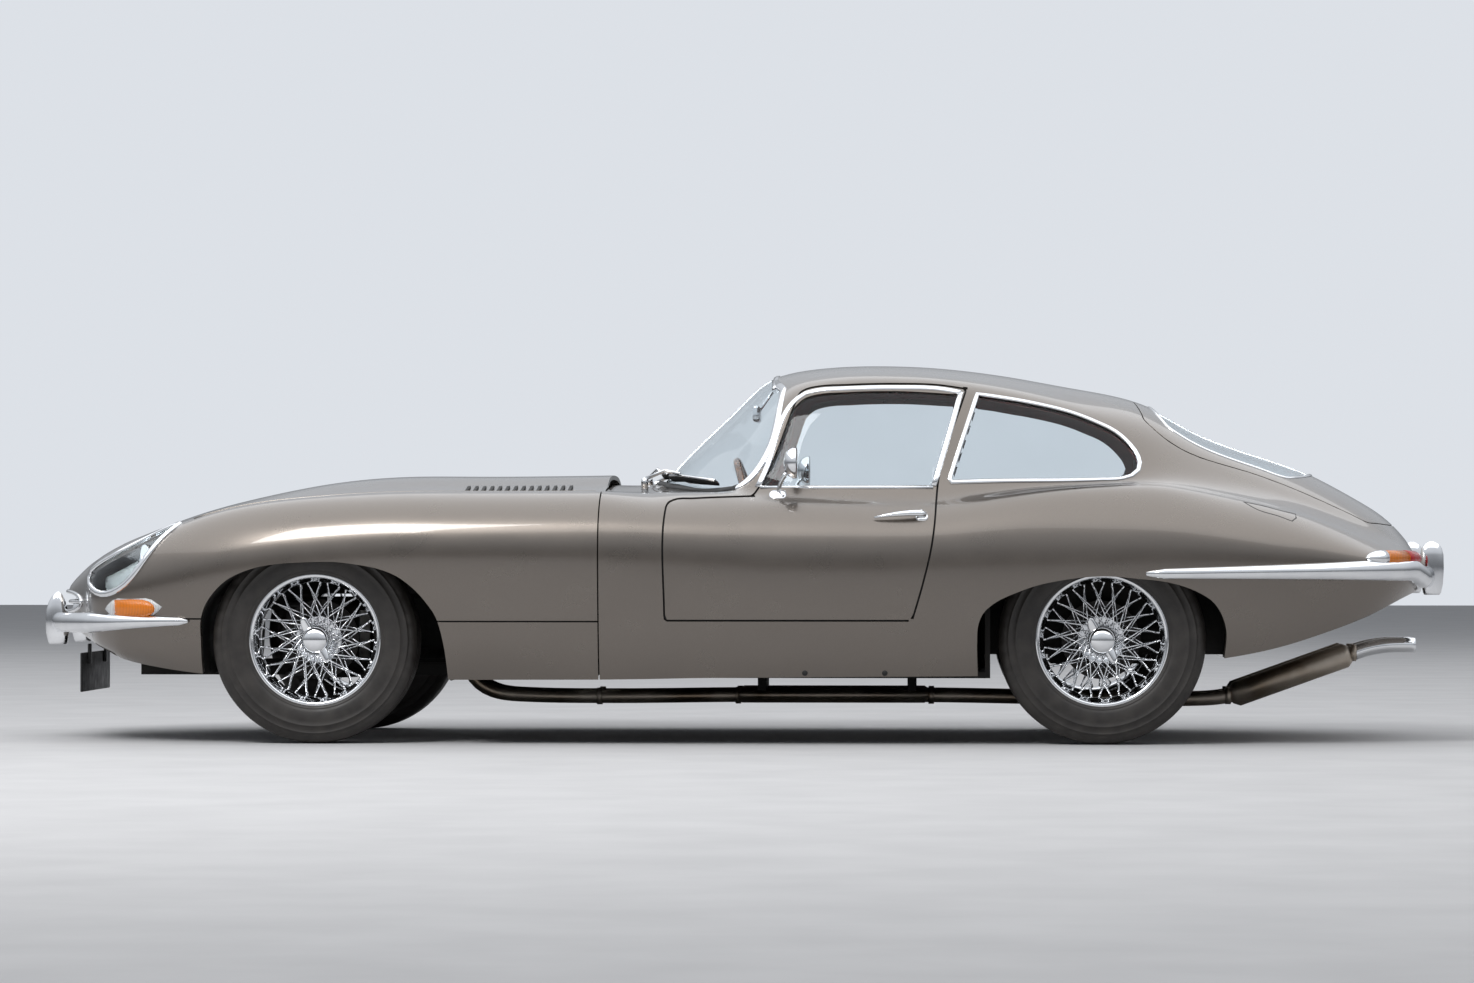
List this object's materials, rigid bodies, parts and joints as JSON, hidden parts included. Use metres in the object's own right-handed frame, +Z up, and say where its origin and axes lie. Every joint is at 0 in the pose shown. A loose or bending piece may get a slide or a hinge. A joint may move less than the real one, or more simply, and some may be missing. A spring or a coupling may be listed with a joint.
{
  "type": "two-seat coupe car",
  "caption": "Low two-seat coupe with a long front-hinged bonnet, wire wheels, faired headlamps, opening doors and a side-hinged tailgate.",
  "frame": {"origin": "on the ground below the middle of the car", "axes": "+X towards the nose, +Y to the car's left, +Z up"},
  "size_m": [4.448, 1.6758, 1.192],
  "materials": {
    "paint": "metallic clear coat",
    "underbody": "satin",
    "chrome": "polished",
    "steel": "brushed",
    "glass": "clear",
    "tyre": "matte",
    "leather": "semi-matte",
    "black": "matte",
    "wood": "varnished",
    "red_lens": "gloss",
    "amber_lens": "gloss",
    "alloy": "cast"
  },
  "bodies": {
    "car_body": {"floor_pan": "underbody", "sills": "paint", "scuttle": "paint", "cabin_shell": "paint", "windscreen": "glass", "quarter_windows": "glass", "dashboard": "black", "seats": "leather", "front_frame": "paint", "engine": "alloy", "front_suspension": "steel", "rear_suspension": "steel", "exhaust": "steel", "rear_bumpers": "chrome", "tail_lamps": "red_lens", "rear_plate": "black"},
    "bonnet_body": {"bonnet": "paint", "front_valance": "paint", "headlamps": "chrome", "headlamp_covers": "glass", "front_bumpers": "chrome", "side_lamps": "amber_lens", "grille_bar": "chrome", "front_plate": "black"},
    "door_body_left": {"door_left": "paint", "door_glass_left": "glass", "door_mirror_left": "chrome"},
    "door_body_right": {"door_right": "paint", "door_glass_right": "glass", "door_mirror_right": "chrome"},
    "tailgate_body": {"tailgate": "paint", "tailgate_glass": "glass"},
    "knuckle_body_left": {"knuckle_left": "steel"},
    "knuckle_body_right": {"knuckle_right": "steel"},
    "wheel_front_left": {"tyre_front_left": "tyre", "wire_wheel_front_left": "chrome"},
    "wheel_front_right": {"tyre_front_right": "tyre", "wire_wheel_front_right": "chrome"},
    "wheel_rear_left": {"tyre_rear_left": "tyre", "wire_wheel_rear_left": "chrome"},
    "wheel_rear_right": {"tyre_rear_right": "tyre", "wire_wheel_rear_right": "chrome"},
    "steering_wheel_body": {"steering_wheel": "wood"}
  },
  "joints": [
    {"name": "bonnet_hinge", "type": "hinge", "parent": "car_body", "child": "bonnet_body", "pos_m": [1.965, 0, 0.335], "axis": [0, 1, 0], "range_deg": [0, 50]},
    {"name": "door_left_hinge", "type": "hinge", "parent": "car_body", "child": "door_body_left", "pos_m": [0.165, 0.816, 0.53], "axis": [0, 0, -1], "range_deg": [0, 65]},
    {"name": "door_right_hinge", "type": "hinge", "parent": "car_body", "child": "door_body_right", "pos_m": [0.165, -0.816, 0.53], "axis": [0, 0, 1], "range_deg": [0, 65]},
    {"name": "tailgate_hinge", "type": "hinge", "parent": "car_body", "child": "tailgate_body", "pos_m": [-1.5, 0.376, 0.958], "axis": [-0.9083, 0, -0.4184], "range_deg": [0, 70]},
    {"name": "steer_left", "type": "hinge", "parent": "car_body", "child": "knuckle_body_left", "pos_m": [1.297, 0.56, 0.322], "axis": [0, 0, 1], "range_deg": [-25, 25]},
    {"name": "steer_right", "type": "hinge", "parent": "car_body", "child": "knuckle_body_right", "pos_m": [1.297, -0.56, 0.322], "axis": [0, 0, 1], "range_deg": [-25, 25]},
    {"name": "front_left_spin", "type": "hinge", "parent": "knuckle_body_left", "child": "wheel_front_left", "pos_m": [1.297, 0.635, 0.322], "axis": [0, 1, 0], "continuous": true},
    {"name": "front_right_spin", "type": "hinge", "parent": "knuckle_body_right", "child": "wheel_front_right", "pos_m": [1.297, -0.635, 0.322], "axis": [0, 1, 0], "continuous": true},
    {"name": "rear_left_spin", "type": "hinge", "parent": "car_body", "child": "wheel_rear_left", "pos_m": [-1.141, 0.635, 0.322], "axis": [0, 1, 0], "continuous": true},
    {"name": "rear_right_spin", "type": "hinge", "parent": "car_body", "child": "wheel_rear_right", "pos_m": [-1.141, -0.635, 0.322], "axis": [0, 1, 0], "continuous": true},
    {"name": "steering_wheel_turn", "type": "hinge", "parent": "car_body", "child": "steering_wheel_body", "pos_m": [-0.06, 0.36, 0.7], "axis": [-0.9511, 0, 0.309], "range_deg": [-450, 450]}
  ],
  "couplings": [
    {"joint": "steer_right", "follows": "steer_left", "ratio": 1},
    {"joint": "steering_wheel_turn", "follows": "steer_left", "ratio": 18}
  ]
}
